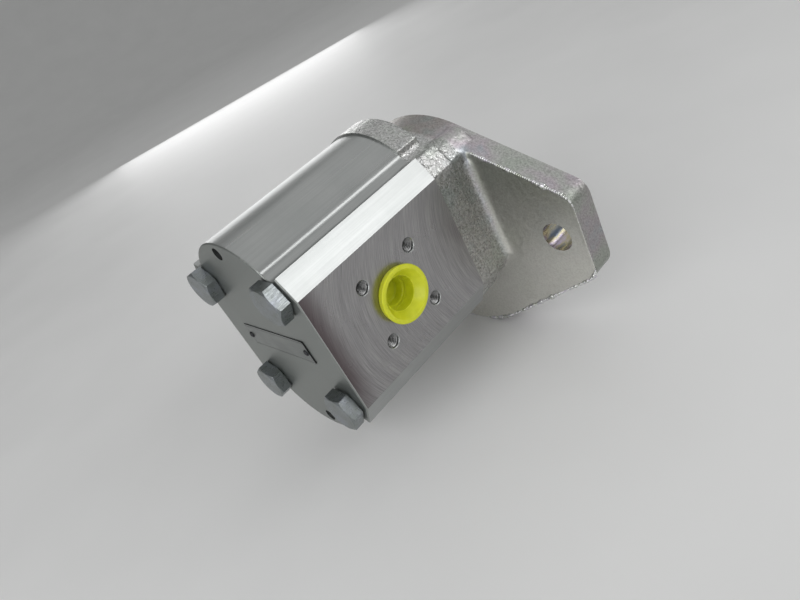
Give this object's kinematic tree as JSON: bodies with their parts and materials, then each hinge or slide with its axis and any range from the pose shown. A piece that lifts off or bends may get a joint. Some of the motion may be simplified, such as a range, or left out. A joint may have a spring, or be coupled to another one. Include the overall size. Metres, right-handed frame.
{
  "type": "hydraulic gear pump",
  "caption": "External gear pump with a two-bolt mounting flange and round pilot, keyed drive shaft, block body with plugged side ports and a bolted rear cover.",
  "frame": {"origin": "centre of the pilot, on the flange's mounting face", "axes": "+Y along the drive shaft towards its free end, +X out of the suction port, +Z from the drive gear to the driven gear"},
  "size_m": [0.174, 0.1646, 0.1289],
  "materials": {
    "rear_cover": "satin machined aluminium plate, grey-green cast",
    "pump_body": "extruded aluminium, drawn sides and milled port faces",
    "front_flange": "sand-cast aluminium, grainy olive-grey skin, machined mounting face",
    "drive_gear_shaft": "ground case-hardened steel",
    "shaft_key": "drawn key steel",
    "driven_gear_shaft": "ground case-hardened steel",
    "rear_bearing_block": "turned aluminium alloy",
    "front_bearing_block": "turned aluminium alloy",
    "rear_bearing_bushes": "bronze-backed plain bush",
    "front_bearing_bushes": "bronze-backed plain bush",
    "rear_pressure_seal": "black nitrile rubber",
    "front_pressure_seal": "black nitrile rubber",
    "rear_backup_ring": "natural nylon",
    "front_backup_ring": "natural nylon",
    "rear_body_seal": "black nitrile rubber",
    "front_body_seal": "black nitrile rubber",
    "shaft_seal_case": "phosphated steel case with a thin rubber skin",
    "shaft_seal_lip": "black nitrile rubber",
    "shaft_seal_spring": "spring steel",
    "seal_retaining_ring": "black oxide spring steel",
    "cover_bolts": "bright zinc plate with a blue cast",
    "rear_dowel_pins": "ground dowel steel",
    "front_dowel_pins": "ground dowel steel",
    "nameplate": "blank satin aluminium plate",
    "nameplate_rivets": "aluminium drive rivets",
    "suction_port_plug": "translucent yellow polyethylene",
    "pressure_port_plug": "translucent yellow polyethylene"
  },
  "bodies": {
    "housing": {"rear_cover": "rear_cover", "pump_body": "pump_body", "front_flange": "front_flange", "rear_bearing_block": "rear_bearing_block", "front_bearing_block": "front_bearing_block", "rear_bearing_bushes": "rear_bearing_bushes", "front_bearing_bushes": "front_bearing_bushes", "rear_pressure_seal": "rear_pressure_seal", "front_pressure_seal": "front_pressure_seal", "rear_backup_ring": "rear_backup_ring", "front_backup_ring": "front_backup_ring", "rear_body_seal": "rear_body_seal", "front_body_seal": "front_body_seal", "shaft_seal_case": "shaft_seal_case", "shaft_seal_lip": "shaft_seal_lip", "shaft_seal_spring": "shaft_seal_spring", "seal_retaining_ring": "seal_retaining_ring", "cover_bolts": "cover_bolts", "rear_dowel_pins": "rear_dowel_pins", "front_dowel_pins": "front_dowel_pins", "nameplate": "nameplate", "nameplate_rivets": "nameplate_rivets"},
    "drive": {"drive_gear_shaft": "drive_gear_shaft", "shaft_key": "shaft_key"},
    "driven": {"driven_gear_shaft": "driven_gear_shaft"},
    "suction_plug": {"suction_port_plug": "suction_port_plug"},
    "pressure_plug": {"pressure_port_plug": "pressure_port_plug"}
  },
  "joints": [
    {"name": "drive_spin", "type": "hinge", "parent": "housing", "child": "drive", "pos_m": [0, -0.0765, 0], "axis": [0, 1, 0], "continuous": true},
    {"name": "driven_spin", "type": "hinge", "parent": "housing", "child": "driven", "pos_m": [0, -0.0765, 0.033], "axis": [0, 1, 0], "continuous": true},
    {"name": "suction_plug_pull", "type": "slide", "parent": "housing", "child": "suction_plug", "axis": [1, 0, 0], "range_m": [0, 0.02]},
    {"name": "pressure_plug_pull", "type": "slide", "parent": "housing", "child": "pressure_plug", "axis": [-1, 0, 0], "range_m": [0, 0.02]}
  ],
  "couplings": [
    {"joint": "driven_spin", "follows": "drive_spin", "ratio": -1}
  ]
}
